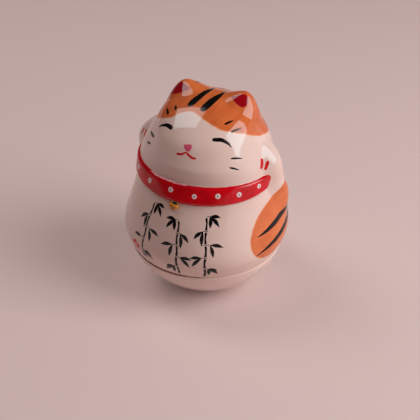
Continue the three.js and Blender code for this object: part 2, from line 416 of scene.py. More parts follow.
def innerRings():
    wall = bodyForm["wall"]
    step = bodyMesh["slopeStep"]
    width, depth, base = bodyForm["seam"]
    rings = [(width - wall, depth - wall, base, 0.0)]
    for i in range(1, bodyMesh["innerRings"] + 1):
        place = tableLength[-1] * bodyMesh["innerReach"] * i / bodyMesh["innerRings"]
        width, depth, height = sectionAt(place)
        lean = min(max((width - sectionAt(place + step)[0]) / step, 0), 1)
        across = wall * math.sqrt(1 - lean**2)
        rings.append((
            max(width - across, bodyMesh["innerTop"]),
            max(depth - across, bodyMesh["innerTop"]),
            height - wall * lean,
            float(backAt(height)),
        ))
    return rings


def closeInside(shell):  # the bare inner wall, one wall inside the glaze
    outerPoints = len(shell.data.vertices)
    pick(shell)
    editMode("EDGE", "DESELECT")
    selectBoundary(shell)
    rim = bodyForm["seam"][0] - bodyForm["edgeRounding"]
    extrudeAlong([(rim, rim, bodyForm["seam"][2], 0.0), *innerRings()])
    bpy.ops.mesh.edge_face_add()
    objectMode()
    points = pointsOf(shell) / mm  # hollow behind the face too
    inner = points[outerPoints:]
    turn = turnOf(inner)
    pushOut(inner, turn, faceRelief(turn, inner[:, 2]))
    setPoints(shell, points * mm)


body = addBodyShell()
raiseRelief(body)
print("body form:", len(body.data.vertices), "points")


# Places on the glazed surface

def surfaceOf(piece):
    mesh = bmesh.new()
    mesh.from_mesh(piece.data)
    tree = BVHTree.FromBMesh(mesh)
    mesh.free()
    return tree


glazed = surfaceOf(body)
outsideBody = 0.08  # metres from the axis, clear of the figure


def fromSide(turn, height):  # degrees round from the cat's front, and millimetres up
    angle = math.radians(turn)
    out = Vector((math.sin(angle), -math.cos(angle), 0))
    axis = Vector((0, float(backAt(height)), height)) * mm
    return glazed.ray_cast(axis + out * outsideBody, -out)[0]


def seat(place, surface):  # (turn, height) or a rough (x, y, z), brought to the surface
    if len(place) == 2:
        return fromSide(*place)
    return surface.find_nearest(Vector(place) * mm)[0]


def denseLine(points, count):
    return np.array([throughPoints(points, i / count) for i in range(count + 1)])


def closedLine(points, count):  # round and back to its first point
    points = [*points[-1:], *points, *points[:2]]
    spans = len(points) - 1
    return np.array([throughPoints(points, (1 + i * (spans - 2) / count) / spans) for i in range(count)])


# Painted areas. Each point of the body learns how far it lies inside each of them, in millimetres.

headPatch = {
    "edge": [                 # its lower edge, as degrees round from the front and height
        (-180, 59.4), (-150, 59.2), (-120, 60.4), (-100, 61.8), (-77, 63.6), (-63, 66.2), (-53, 67.9),
        (-43.6, 69.3), (-37, 70.3), (-33, 71.5), (-25, 72.4), (-14, 72.9), (0, 72.6), (20, 71.6), (37, 70.1),
        (51, 69.0), (65, 67.5), (75, 65.9), (86, 64.3), (98, 63.0), (120, 61.0), (150, 59.8), (180, 59.4),
    ],
    "steps": 1400,
}
sidePatch = {
    "outline": [              # an oval on the cat's left flank
        (103, 46.4), (94, 44.8), (85.6, 42.5), (75.5, 41.4), (65.5, 38.8), (58.6, 34.3), (56.4, 30),
        (60.2, 25.6), (68, 22.6), (77, 21.6), (90, 22.0), (108, 21.5), (128, 22.2), (143, 25.4), (150, 31),
        (146, 38), (134, 43.6), (118, 46.3),
    ],
    "steps": 1400,
}
collarPaint = {
    "edge": [                 # lower edge of the red, which wanders a little from the relief
        (-180, 46.6), (-120, 46.7), (-90, 48.0), (-51, 47.7), (-37, 47.0), (-24, 46.2), (0, 46.2), (31, 46.4),
        (43, 46.5), (54, 47.0), (66, 47.5), (90, 47.9), (120, 46.7), (180, 46.6),
    ],
    "steps": 700,
    "drop": 1.2,              # how far below the relief the red may reach
}
earLining = {
    "outlines": [
        [(-12.6, 5.9, 75.9), (-10.3, 4.7, 75.7), (-7.9, 3.8, 75.3), (-9.2, 2.8, 74.5), (-11.0, 2.2, 73.5),
         (-13.3, 2.3, 72.5), (-16.2, 4.0, 70.9), (-15.5, 4.8, 72.3), (-14.1, 5.2, 74.3)],
        [(7.7, 4.0, 75.4), (9.0, 4.7, 76.0), (10.6, 5.4, 76.5), (12.1, 6.1, 76.7), (12.9, 5.7, 75.9),
         (13.4, 5.0, 75.0), (13.4, 4.0, 74.0), (12.5, 2.6, 73.3), (11.2, 2.4, 73.7), (9.8, 2.7, 74.3)],
    ],
    "steps": 300,
    "reach": 9,               # points further than this from its middle are outside it,
    "outside": -5.0,          # and count as this far in
}


def setAttribute(piece, name, values):
    attribute = piece.data.attributes.new(name, "FLOAT", "POINT")
    attribute.data.foreach_set("value", np.ascontiguousarray(values, np.float32))


def inFrom(points, line, inside):  # millimetres in from a line of points, negative outside
    tree = KDTree(len(line))
    for i, point in enumerate(line):
        tree.insert(point, i)
    tree.balance()
    away = np.array([tree.find(point)[2] for point in points])
    return np.where(inside, away, -away)


def insideLoop(points, loop):  # both flat
    across, up = points[:, 0], points[:, 1]
    inside = np.zeros(len(points), bool)
    for start, end in zip(loop, np.roll(loop, -1, axis=0)):
        if start[1] == end[1]:
            continue
        between = (start[1] > up) != (end[1] > up)
        at = start[0] + (up - start[1]) * (end[0] - start[0]) / (end[1] - start[1])
        inside ^= between & (across < at)
    return inside


def onBody(places):
    return np.array([fromSide(turn, height) for turn, height in places]) / mm


def markHeadPatch(points, turn):
    edge = denseLine(headPatch["edge"], headPatch["steps"])
    above = points[:, 2] > np.interp(turn, edge[:, 0], edge[:, 1])
    setAttribute(body, "headPatch", inFrom(points, onBody(edge), above))


def markSidePatch(points, turn):
    loop = closedLine(sidePatch["outline"], sidePatch["steps"])
    inside = insideLoop(np.column_stack([turn, points[:, 2]]), loop)
    setAttribute(body, "sidePatch", inFrom(points, onBody(loop), inside))


def markCollar(points, turn):
    edge = denseLine(collarPaint["edge"], collarPaint["steps"])
    above = points[:, 2] - np.interp(turn, edge[:, 0], edge[:, 1])
    band = collarInside(turnOf(points), points[:, 2], collarPaint["drop"])
    setAttribute(body, "collarBand", np.minimum(above, band))


def markEarLinings(points):
    depth = np.full(len(points), earLining["outside"])
    for outline in earLining["outlines"]:
        knots = [glazed.find_nearest(Vector(place) * mm)[0] / mm for place in outline]
        loop = closedLine(knots, earLining["steps"])
        line = np.array([glazed.find_nearest(Vector(point) * mm)[0] for point in loop]) / mm
        middle = line.mean(axis=0)
        facing = np.array(glazed.find_nearest(Vector(middle) * mm)[1])
        level = np.cross(facing, (0, 0, 1))
        level /= np.linalg.norm(level)
        rise = np.cross(level, facing)
        near = np.linalg.norm(points - middle, axis=1) < earLining["reach"]
        away = points[near] - middle
        flat = np.column_stack([away @ level, away @ rise])
        flatLoop = np.column_stack([(line - middle) @ level, (line - middle) @ rise])
        depth[near] = np.maximum(depth[near], inFrom(points[near], line, insideLoop(flat, flatLoop)))
    setAttribute(body, "earLining", depth)


bodyPoints = pointsOf(body) / mm
bodyTurn = np.degrees(np.arctan2(bodyPoints[:, 0], backAt(bodyPoints[:, 2]) - bodyPoints[:, 1]))
markHeadPatch(bodyPoints, bodyTurn)
markSidePatch(bodyPoints, bodyTurn)
markCollar(bodyPoints, bodyTurn)
markEarLinings(bodyPoints)
glazedFaces = len(body.data.polygons)
closeInside(body)
shadeSmooth(body)
print("body shell:", len(body.data.polygons), "faces, painted areas marked")


# Brushwork. Each stroke is a thin skin of enamel that follows the surface.

brush = {
    "step": 0.28,             # between its cross lines
    "rows": (12, 90),         # fewest and most of these along a stroke
    "across": 6,
    "lift": 0.03,
    "sink": 0.012,            # of its edges, so that they meet the glaze
    "tip": 0.012,             # half width at a stroke's ends
    "depth": 0.12,
    "uneven": 0.04,
    "waves": (2.1, 5.3),      # of that unevenness, in radians a millimetre
    "leastWidth": 0.05,
    "thin": 0.8,              # strokes thinner than this waver less
    "lineSteps": 80,
    "spotSides": 48,
    "spotRings": (0.92, 0.78, 0.6, 0.42, 0.26, 0.12),  # as shares of the outline
    "dimpleSize": 0.34,
    "sharpFrom": 45,
}


def lineOn(surface, knots):  # a smooth line on the surface and the length along it, in millimetres
    rough = denseLine(knots, brush["lineSteps"])
    line = np.array([surface.find_nearest(Vector(point))[0] for point in rough]) / mm
    steps = np.linalg.norm(np.diff(line, axis=0), axis=1)
    return line, np.concatenate([[0], np.cumsum(steps)])


def finishSkin(skin, surface):  # turned outwards and given its depth
    polygon = skin.data.polygons[0]
    out = surface.find_nearest(polygon.center)[1]
    if polygon.normal.dot(out) < 0:
        pick(skin)
        editMode("FACE")
        bpy.ops.mesh.flip_normals()
        objectMode()
    applyModifier(skin, "SOLIDIFY", thickness=brush["depth"] * mm, offset=-1)
    shadeSmooth(skin, brush["sharpFrom"])
    return skin


def addStroke(places, widths, phase=0.0, surface=glazed):
    line, lengths = lineOn(surface, [seat(place, surface) for place in places])
    total = lengths[-1]
    fewest, most = brush["rows"]
    rows = int(min(max(total / brush["step"], fewest), most))
    deselectAll()
    bpy.ops.mesh.primitive_grid_add(x_subdivisions=rows, y_subdivisions=brush["across"], size=1)
    stroke = justAdded("stroke")
    flat = pointsOf(stroke)
    ahead, across = flat[:, 0] + 0.5, flat[:, 1] * 2
    share = 0.5 * ahead + 0.25 * (1 - np.cos(np.pi * ahead))  # the rows lie closer at both ends
    place = share * total
    width = np.array([throughPoints(widths, s) for s in share])
    slow, quick = brush["waves"]
    wander = np.sin(slow * place + phase + 2 * np.sign(across)) + 0.6 * np.sin(quick * place + 3 * phase)
    half = np.maximum(width, brush["leastWidth"]) / 2
    half = half * (1 + brush["uneven"] * wander / np.maximum(width, brush["thin"]))
    fromEnd = np.clip(np.minimum(place, total - place) / half, 0, 1)
    rounding = np.sqrt(1 - (1 - fromEnd) ** 2)
    half = np.maximum(half * rounding, brush["tip"])
    rise = brush["lift"] * np.sqrt(1 - across**2) * rounding - brush["sink"]

    def pointAt(length):
        return Vector([np.interp(length, lengths, line[:, k]) for k in range(3)])

    points = np.empty_like(flat)
    nearby = 0.15
    for i in range(len(flat)):
        here = pointAt(place[i])
        forward = pointAt(place[i] + nearby) - pointAt(place[i] - nearby)
        side = surface.find_nearest(here * mm)[1].cross(forward).normalized()
        spot, normal = surface.find_nearest((here + side * (across[i] * half[i])) * mm)[:2]
        points[i] = spot + normal * (rise[i] * mm)
    setPoints(stroke, points)
    setAttribute(stroke, "strokeAlong", share)
    setAttribute(stroke, "strokeAcross", across)
    return finishSkin(stroke, surface)


def addStrokes(table, phaseStep):  # each stroke of a table wavers in a way of its own
    return [addStroke(places, widths, phaseStep * i) for i, (places, widths) in enumerate(table.values())]


def addSpot(places, lift=brush["lift"], dimple=0.0, surface=glazed):  # a filled shape with a smooth outline
    sides = brush["spotSides"]
    outline = closedLine([seat(place, surface) / mm for place in places], sides)
    middle = outline.mean(axis=0)
    spot = addCircle("spot", sides, 1)
    editMode("EDGE")
    size = 1.0
    for smaller in brush["spotRings"]:
        bpy.ops.mesh.extrude_region_move(TRANSFORM_OT_translate={"value": (0, 0, 0)})
        bpy.ops.transform.resize(value=(smaller / size, smaller / size, 1), center_override=(0, 0, 0))
        size = smaller
    bpy.ops.mesh.edge_face_add()
    objectMode()
    flat = pointsOf(spot)
    spread = np.hypot(flat[:, 0], flat[:, 1])
    where = np.mod(np.arctan2(flat[:, 1], flat[:, 0]) / (2 * math.pi), 1) * sides
    around = np.concatenate([outline, outline[:1]])
    hollow = 1 - dimple * np.exp(-((spread / brush["dimpleSize"]) ** 2))
    dome = np.sqrt(np.clip(1 - spread**2, 0, 1)) * hollow
    points = np.empty_like(flat)
    for i in range(len(flat)):
        rim = np.array([np.interp(where[i], range(sides + 1), around[:, k]) for k in range(3)])
        target = Vector(middle + (rim - middle) * spread[i]) * mm
        found, normal = surface.find_nearest(target)[:2]
        points[i] = found + normal * ((lift * dome[i] - brush["sink"]) * mm)
    setPoints(spot, points)
    setAttribute(spot, "strokeAlong", spread)
    setAttribute(spot, "strokeAcross", spread)
    return finishSkin(spot, surface)


def ringAround(place, radius, squash=1.0, surface=glazed):  # outline places of a round spot on the surface
    middle = seat(place, surface)
    out = surface.find_nearest(middle)[1]
    level = out.cross(upright).normalized()
    rise = level.cross(out)
    sides = 10
    places = []
    for i in range(sides):
        angle = 2 * math.pi * i / sides
        offset = level * (math.cos(angle) * radius) + rise * (math.sin(angle) * radius * squash)
        places.append(tuple(middle / mm + offset))
    return places


# Black brushwork of the face, head and flank

blackStrokes = {  # places along each stroke, and its widths from start to end
    "leftEye": (
        [(26.5, 67.9), (31.6, 67.9), (38, 67.6), (43.5, 66.5), (46.3, 65.2)],
        (1.5, 1.75, 1.65, 1.15, 0.35),
    ),
    "rightEye": (
        [(-23.3, 68.3), (-29.4, 68.5), (-35.7, 68.2), (-40.8, 67.4), (-44.4, 66.3)],
        (1.7, 1.95, 1.6, 1.1, 0.5),
    ),
    "rightBrow": ([(-13.1, -4.4, 70.7), (-12.1, -6.1, 70.5), (-11.1, -7.5, 70.2)], (0.45, 1.25, 0.9)),
    "rightBrowInner": ([(-10.0, -3.9, 72.4), (-9.4, -5.1, 72.2), (-8.8, -6.3, 71.8)], (0.4, 1.2, 1.0)),
    "leftBrow": ([(9.9, -6.8, 71.2), (10.9, -5.3, 71.5), (12.0, -3.6, 71.6)], (0.95, 1.0, 0.35)),
    "leftBrowOuter": ([(12.7, -7.5, 69.3), (13.8, -5.8, 69.4), (14.9, -3.8, 69.5)], (0.85, 0.9, 0.35)),
    "rightWhisker": ([(-57.1, 62.3), (-49.3, 62.8), (-42.4, 63.0)], (0.7, 1.4, 1.0)),
    "rightWhiskerLow": ([(-52.3, 59.6), (-47.2, 60.1), (-43.6, 60.5)], (0.5, 1.1, 0.7)),
    "leftWhisker": ([(43.6, 62.1), (49, 61.8), (55.6, 61.2)], (0.55, 0.9, 0.3)),
    "leftWhiskerLow": ([(42.1, 59.5), (46.5, 58.9), (51.2, 58.1)], (0.65, 0.85, 0.3)),
    "crownStripe": (
        [(-4.7, -4.7, 73.4), (-4.2, -2.8, 74.1), (-3.4, -0.5, 74.8), (-2.5, 2.5, 75.3), (-1.8, 5.9, 75.2),
         (-1.4, 10.4, 74.0)],
        (2.4, 3.5, 3.2, 2.6, 1.7, 0.5),
    ),
    "crownStripeLeft": (
        [(0.6, -5.6, 73.4), (1.1, -3.9, 74.0), (1.9, -1.2, 74.8), (2.7, 1.9, 75.3), (3.3, 5.2, 75.2),
         (3.4, 9.6, 74.3)],
        (2.6, 3.4, 3.2, 2.4, 1.5, 0.5),
    ),
    "backStripe": (
        [(-7.7, 8.2, 75.8), (-8.4, 11.4, 73.5), (-8.9, 15, 70.0), (-9.2, 18, 66.0)],
        (0.9, 2.3, 2.0, 0.25),
    ),
    "backStripeLeft": (
        [(0.5, 11.0, 73.8), (1.2, 14, 71.6), (1.8, 17.5, 68.2), (2.2, 20, 64.2)],
        (0.9, 2.4, 2.1, 0.25),
    ),
    "flankStripe": (
        [(63.2, 32.5), (70.9, 32.9), (79, 33.3), (88, 33.6), (97, 34.1), (108, 34.9), (120, 35.2),
         (134, 34.2)],
        (0.3, 1.7, 2.4, 2.5, 2.5, 2.7, 2.2, 0.3),
    ),
    "flankStripeLow": (
        [(60.4, 25.5), (67.1, 26.5), (74.8, 27.3), (81.5, 27.9), (88, 28.4), (97, 28.9), (110, 29.2),
         (126, 28.4)],
        (0.3, 1.5, 2.2, 2.5, 2.5, 2.3, 1.7, 0.3),
    ),
}

# Ink bamboo down the front of the belly

bamboo = {
    "sprigs": [
        # turn, top, bottom, lean over its whole length in millimetres, first side that leaves grow on
        (-22, 43.6, 21.0, -1.6, 1),
        (3.4, 41.0, 19.6, 0.8, -1),
        (25, 43.0, 19.4, -0.8, 1),
    ],
    "joints": 5,
    "jointGap": 0.22,
    "stem": 1.15,             # width
    "stemGrowth": (0.8, 0.06),  # share of it at the top, and what each joint down adds
    "stemWidths": (1.15, 0.8, 1.2),  # from one joint to the next, as shares of it
    "bow": 0.18,
    "tick": ((-0.75, 0.12), (0, -0.06), (0.75, 0.14)),  # across and up from a joint
    "tickWidths": (0.28, 0.36, 0.26),
    "twigWidths": (0.3, 0.24, 0.3),
    "twigRise": (0, 0.3, 0.15),
    "twigDrop": 0.1,          # below its joint
    "twigReach": (1.0, 0.25),  # the shortest, and what a longer one has more
    "leafLength": 4.9,
    "leafSizes": (0.78, 0.11),  # share of that for the shortest, and what a longer one has more
    "leafSway": 7,            # degrees
    "leafWidths": (0.22, 1.7, 0.06),
    "leafAngles": (-84, -48, -14),  # degrees below level, on the side that they grow to
    "leafCurve": (0.21, 0.25),      # how far a leaf's middle bulges, across and up
    "aboveSeam": 0.5,
}
blossom = {
    "turn": -33.0,
    "height": 24.6,
    "petals": 5,
    "petal": 1.1,             # radius of a petal
    "squash": 0.92,
    "spread": 1.6,            # from the flower's middle to a petal's
    "clear": 3.4,             # no leaf ends nearer to its middle than this
}


def onBelly(turn, height, across, up):  # millimetres across and up from a place
    radius = float(widthAt(height + up))
    return (turn + math.degrees(across / radius), height + up)


def nearBlossom(place):
    across = math.radians(place[0] - blossom["turn"]) * bodyForm["belly"][0]
    return math.hypot(across, place[1] - blossom["height"]) < blossom["clear"]


def addStem(turn, high, shift, lean, span, i, phase):  # from one joint to the next
    bow = bamboo["bow"] * (-1) ** i
    gap = bamboo["jointGap"]
    least, growth = bamboo["stemGrowth"]
    thickness = bamboo["stem"] * (least + growth * i)
    places = [
        onBelly(turn, high, shift, -gap),
        onBelly(turn, high, shift + lean / 2 + bow, -span / 2),
        onBelly(turn, high, shift + lean, -span + gap),
    ]
    return addStroke(places, [thickness * width for width in bamboo["stemWidths"]], phase + i)


def addTwig(turn, high, reach, grows, shift, phase):
    ends = (0, grows * reach * 0.6, grows * reach)
    places = [onBelly(turn, high, shift + end, rise) for end, rise in zip(ends, bamboo["twigRise"])]
    return addStroke(places, bamboo["twigWidths"], phase)


def leafPlaces(turn, high, stalk, grows, i, n):  # leaf n of joint i, from the end of its twig
    least, longer = bamboo["leafSizes"]
    length = bamboo["leafLength"] * (least + longer * ((3 * i + 2 * n) % 4))
    slope = math.radians(bamboo["leafAngles"][n] + bamboo["leafSway"] * ((i + n) % 3 - 1))
    run, drop = math.cos(slope) * length * grows, math.sin(slope) * length
    base = bamboo["twigRise"][-1]
    bulge, lift = bamboo["leafCurve"]
    return [
        onBelly(turn, high, stalk, base),
        onBelly(turn, high, stalk + run * 0.5 + bulge * grows, base + drop * 0.5 + lift),
        onBelly(turn, high, stalk + run, base + drop),
    ]


def addLeaves(turn, high, stalk, grows, i, phase):
    strokes = []
    lowest = bodyForm["seam"][2] + bamboo["aboveSeam"]
    for n in range(len(bamboo["leafAngles"])):
        if (i + n) % 4 == 3:  # a leaf is missing here and there
            continue
        places = leafPlaces(turn, high, stalk, grows, i, n)
        if places[-1][1] > lowest and not any(nearBlossom(place) for place in places[1:]):
            strokes.append(addStroke(places, bamboo["leafWidths"], phase + i + 5 * n))
    return strokes


def addSprig(turn, top, bottom, lean, grows, phase):
    strokes = []
    joints = bamboo["joints"]
    span = (top - bottom) / joints
    for i in range(joints):
        high = top - i * span
        shift = lean * i / joints
        strokes.append(addStem(turn, high, shift, lean / joints, span, i, phase))
        if i > 0:
            tick = [onBelly(turn, high, shift + across, up) for across, up in bamboo["tick"]]
            strokes.append(addStroke(tick, bamboo["tickWidths"], phase + 2 * i))
    shortest, longer = bamboo["twigReach"]
    for i in range(joints):
        high = top - i * span - bamboo["twigDrop"]
        shift = lean * i / joints
        reach = shortest + longer * ((i * 2 + 1) % 3)
        strokes.append(addTwig(turn, high, reach, grows, shift, phase + 3 * i))
        strokes += addLeaves(turn, high, shift + grows * reach, grows, i, phase)
        grows = -grows
    return strokes


blackWork = joined(addStrokes(blackStrokes, phaseStep=1.7), "black_brushwork")
sprigs = []
for i, sprig in enumerate(bamboo["sprigs"]):
    sprigs += addSprig(*sprig, phase=4.3 * i)
bambooWork = joined(sprigs, "bamboo_brushwork")
print("black brushwork:", len(blackWork.data.polygons) + len(bambooWork.data.polygons), "faces")


# Red brushwork: mouth, claws and a small plum blossom

redStrokes = {
    "mouthRight": (
        [(-7.2, 62.9), (-4.9, 62.9), (-1.9, 63.1), (0.3, 63.6), (1.9, 64.2)],
        (1.15, 1.0, 0.9, 0.8, 0.6),
    ),
    "mouthLeft": (
        [(1.9, 64.2), (4.3, 63.5), (7.0, 62.9), (9.4, 62.6), (12.4, 62.6)],
        (0.6, 0.9, 1.0, 0.95, 0.6),
    ),
    "leftClawInner": ([(22.2, -2.5, 58.5), (22.6, -3.3, 57.0), (22.9, -4.7, 55.3)], (1.7, 1.8, 1.4)),
    "leftClawOuter": ([(24.1, -1.2, 57.3), (24.1, -2.2, 56.2), (23.9, -3.5, 54.5)], (1.35, 1.5, 1.2)),
    "rightClawOuter": ([(-24.4, -0.5, 57.8), (-24.8, -1.1, 56.7), (-25.0, -1.9, 55.4)], (0.95, 1.1, 0.8)),
    "rightClawInner": ([(-22.9, -1.6, 58.4), (-23.3, -2.5, 57.0), (-23.5, -3.8, 55.6)], (1.05, 1.1, 0.8)),
}
noseShape = {
    "outline": [
        (-2.2, 65.9), (1.8, 66.3), (6.0, 66.4), (7.0, 65.5), (5.7, 64.6), (3.8, 64.2), (1.4, 64.5),
        (-0.5, 65.0),
    ],
    "lift": 0.05,
}


def addBlossom():
    petals = []
    for i in range(blossom["petals"]):
        angle = math.radians(90 + 360 / blossom["petals"] * i)
        across, up = blossom["spread"] * math.cos(angle), blossom["spread"] * math.sin(angle)
        place = onBelly(blossom["turn"], blossom["height"], across, up)
        petals.append(addSpot(ringAround(place, blossom["petal"], blossom["squash"])))
    return petals


redWork = joined(addStrokes(redStrokes, phaseStep=2.3) + addBlossom(), "red_brushwork")
nose = joined([addSpot(noseShape["outline"], noseShape["lift"])], "nose")
print("red brushwork:", len(redWork.data.polygons), "faces")


# Dots round the collar, each with a small hollow in its middle

dots = {
    "height": 50.1,
    "radius": 0.94,
    "turns": (-75, -53.7, -32.1, -7.9, 14.3, 34, 51.8, 70.5, 131, 152, 172, -168, -148, -129),
    "raised": {70.5: 0.5},    # the last one before the cat's left arm sits a little higher
    "unevenHeight": 0.25,
    "unevenSize": 0.05,
    "lift": 0.1,
    "dimple": 0.75,
}


def addDots():
    spots = []
    for i, turn in enumerate(dots["turns"]):
        height = dots["height"] + dots["unevenHeight"] * math.sin(2.7 * i) + dots["raised"].get(turn, 0)
        radius = dots["radius"] * (1 + dots["unevenSize"] * math.sin(4.1 * i + 1))
        spots.append(addSpot(ringAround((turn, height), radius), dots["lift"], dots["dimple"]))
    return joined(spots, "collar_dots")


collarDots = addDots()
print("collar dots:", len(dots["turns"]))


# The bell, with its black cap and brush marks

bell = {
    "radius": 1.9,
    "drop": 1.5,              # its middle below the collar
    "sink": 0.5,              # its middle inside the surface
    "turn": -3.0,
    "segments": 48,
    "rings": 40,
    "ribWidth": 0.5,
    "ribSwell": 1.06,
}
bellMarks = {                 # places seen from the front, in shares of the bell's radius, and widths
    "cap": ([(-0.35, 0.86), (0.1, 0.82), (0.55, 0.66), (0.8, 0.36)], (0.7, 1.35, 1.3, 0.5)),
    "band": ([(-0.7, 0.12), (0, 0.06), (0.66, 0.1)], (0.16, 0.22, 0.14)),
    "slit": ([(0.02, -0.3), (0.02, -0.6), (0.02, -0.84)], (0.3, 0.2, 0.14)),
    "hole": (0.02, -0.22),
    "holeRadius": 0.26,
}


def addBell():
    seatPoint = fromSide(bell["turn"], collar["bottom"] - bell["drop"])
    angle = math.radians(bell["turn"])
    middle = seatPoint + Vector((-math.sin(angle), math.cos(angle), 0)) * bell["sink"] * mm
    deselectAll()
    bpy.ops.mesh.primitive_uv_sphere_add(
        segments=bell["segments"], ring_count=bell["rings"], radius=bell["radius"] * mm, location=middle
    )
    ball = justAdded("bell")
    settle(ball)
    editMode(action="DESELECT")
    mesh = bmesh.from_edit_mesh(ball.data)
    for vert in mesh.verts:
        vert.select = abs(vert.co.z - middle.z) < bell["ribWidth"] / 2 * mm
    mesh.select_flush_mode()
    bmesh.update_edit_mesh(ball.data)
    bpy.ops.transform.resize(value=(bell["ribSwell"], bell["ribSwell"], 1), center_override=middle)
    objectMode()
    applyModifier(ball, "SUBSURF", levels=1, render_levels=1)
    shadeSmooth(ball)
    return ball, middle / mm


def addBellMarks(ball, middle):
    skin = surfaceOf(ball)
    outsideBell = bell["radius"] + 0.3

    def onFront(across, up):
        depth = math.sqrt(max(1 - across**2 - up**2, 0))
        return tuple(middle + Vector((across, -depth, up)) * outsideBell)

    def mark(name):
        places, widths = bellMarks[name]
        return addStroke([onFront(*place) for place in places], widths, surface=skin)

    marks = [mark("cap"), mark("band")]
    hole = ringAround(onFront(*bellMarks["hole"]), bellMarks["holeRadius"], surface=skin)
    marks.append(addSpot(hole, surface=skin))
    marks.append(mark("slit"))
    return joined(marks, "bell_marks")


bellBall, bellMiddle = addBell()
bellWork = addBellMarks(bellBall, bellMiddle)
print("bell:", len(bellBall.data.polygons), "faces")


# The bowl that it stands on

bowl = {
    "footRadius": 5.0,
    "seamRadius": 27.8,
    "seamHeight": 18.3,
    "flank": 78.0,            # degrees, the side's steepness at its rim
    "fullness": 0.56,
    "sideShare": 0.965,       # of the side's curve; the rounded edge takes over there
    "wall": 4.0,
    "lipHeight": 3.0,
    "lipWall": 2.2,
    "lipClearance": 0.5,
    "lipRounding": 0.3,
    "edgeRounding": 0.25,
    "hollowTop": 0.8,         # share of the side's curve that the inside follows
    "hollowRings": 6,
    "columns": 96,
    "rings": 16,
}


def bowlSide(share):
    corner = bowl["seamRadius"] - bowl["seamHeight"] / math.tan(math.radians(bowl["flank"]))
    start, end = (1 - share) ** 2, share**2
    middle = 2 * bowl["fullness"] * share * (1 - share)
    total = start + middle + end
    radius = (start * bowl["footRadius"] + middle * corner + end * bowl["seamRadius"]) / total
    return radius, end * bowl["seamHeight"] / total


def bowlOutside():
    rounding, rim, top = bowl["edgeRounding"], bowl["seamRadius"], bowl["seamHeight"]
    side = [bowlSide(bowl["sideShare"] * i / bowl["rings"]) for i in range(bowl["rings"] + 1)]
    edge = [(rim - rounding * across, top - rounding * down) for across, down in reversed(roundedEdge)]
    return side + edge


def bowlLip():
    outer = bowl["seamRadius"] - bodyForm["wall"] - bowl["lipClearance"]
    inner = outer - bowl["lipWall"]
    base, soft = bowl["seamHeight"], bowl["lipRounding"]
    top = base + bowl["lipHeight"]
    return [
        (outer + soft, base), (outer, base), (outer, base + soft), (outer, top - soft), (outer - soft, top),
        (inner + soft, top), (inner, top - soft), (inner, base),
    ]


def bowlInside(widest):
    top, rings = bowl["hollowTop"], bowl["hollowRings"]
    side = [bowlSide(top - top * i / rings) for i in range(rings + 1)]
    inward, upward = bowl["wall"] * 0.6, bowl["wall"] * 0.8
    return [(min(radius - inward, widest), height + upward) for radius, height in side]


def roundRings(profile):  # one for each (radius, height)
    return [(radius, radius, height, 0) for radius, height in profile]


def addBowl():
    lip = bowlLip()
    rings = roundRings(bowlOutside() + lip + bowlInside(widest=lip[-1][0]))
    dish = addCircle("glazed_bowl", bowl["columns"], rings[0][0] * mm, fill="NGON")
    editMode("EDGE", "DESELECT")
    selectBoundary(dish)
    extrudeAlong(rings)
    bpy.ops.mesh.edge_face_add()
    finishForm(dish)
    applyModifier(dish, "SUBSURF", levels=1, render_levels=1)
    shadeSmooth(dish, sharpFrom=40)
    return dish


dish = addBowl()
print("bowl:", len(dish.data.polygons), "faces")


# The thin line of glue between the bowl and the body

glue = {
    "solidSetBack": 0.5,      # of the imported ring, behind the glazed edges
    "recess": 0.06,           # of this one
    "depth": 1.2,
    "bulge": 0.15,
    "columns": 240,
    "unevenness": 0.14,
    "waves": ((5, 0.7, 1.0), (13, 2.1, 0.7), (29, 4.0, 0.5)),  # how many round the seam, phase and height
}


def addGlue():
    low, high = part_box("seam_glue")
    bottom, top = low.z / mm, high.z / mm
    outer = high.x / mm + glue["solidSetBack"] - glue["recess"]
    inner = outer - glue["depth"]
    flat = outer - glue["bulge"]
    profile = [
        (flat, bottom), (outer, (bottom + top) / 2), (flat, top),
        (inner, top), (inner, bottom), (flat, bottom),
    ]
    bead = addCircle("glue_bead", glue["columns"], flat * mm, bottom * mm)
    editMode("EDGE")
    extrudeAlong(roundRings(profile))
    bpy.ops.mesh.select_all(action="SELECT")
    bpy.ops.mesh.remove_doubles(threshold=1e-6)
    finishForm(bead)
    points = pointsOf(bead) / mm
    turn = np.arctan2(points[:, 0], -points[:, 1])
    spread = np.hypot(points[:, 0], points[:, 1])
    wave = sum(height * np.sin(count * turn + phase) for count, phase, height in glue["waves"])
    tallest = sum(height for count, phase, height in glue["waves"])
    onOutside = spread > inner + 0.1
    factor = 1 - glue["unevenness"] * (1 + wave / tallest) / 2 / spread * onOutside
    points[:, 0] *= factor
    points[:, 1] *= factor
    setPoints(bead, points * mm)
    shadeSmooth(bead, sharpFrom=50)
    return bead


bead = addGlue()
print("glue bead:", len(bead.data.polygons), "faces")


# Materials

def nodeOf(tree, kind):
    return next(node for node in tree.nodes if node.type == kind)


def newMaterial(name, roughness=0.5):
    material = bpy.data.materials.new(name)
    material.use_nodes = True
    tree = material.node_tree
    shader = nodeOf(tree, "BSDF_PRINCIPLED")
    shader.inputs["Roughness"].default_value = roughness
    return material, tree, shader


def srgb(red, green, blue):  # a colour as a picture shows it, 0 to 255
    values = [channel / 255 for channel in (red, green, blue)]
    linear = [v / 12.92 if v <= 0.04045 else ((v + 0.055) / 1.055) ** 2.4 for v in values]
    return (*linear, 1.0)


def setInputs(tree, node, inputs):  # an input is a value or another node's socket
    for key, value in inputs.items():
        if isinstance(value, bpy.types.NodeSocket):
            tree.links.new(value, node.inputs[key])
        else:
            node.inputs[key].default_value = value


def addNode(tree, kind, inputs=None, **settings):
    made = tree.nodes.new("ShaderNode" + kind)
    for key, value in settings.items():
        setattr(made, key, value)
    setInputs(tree, made, inputs or {})
    return made


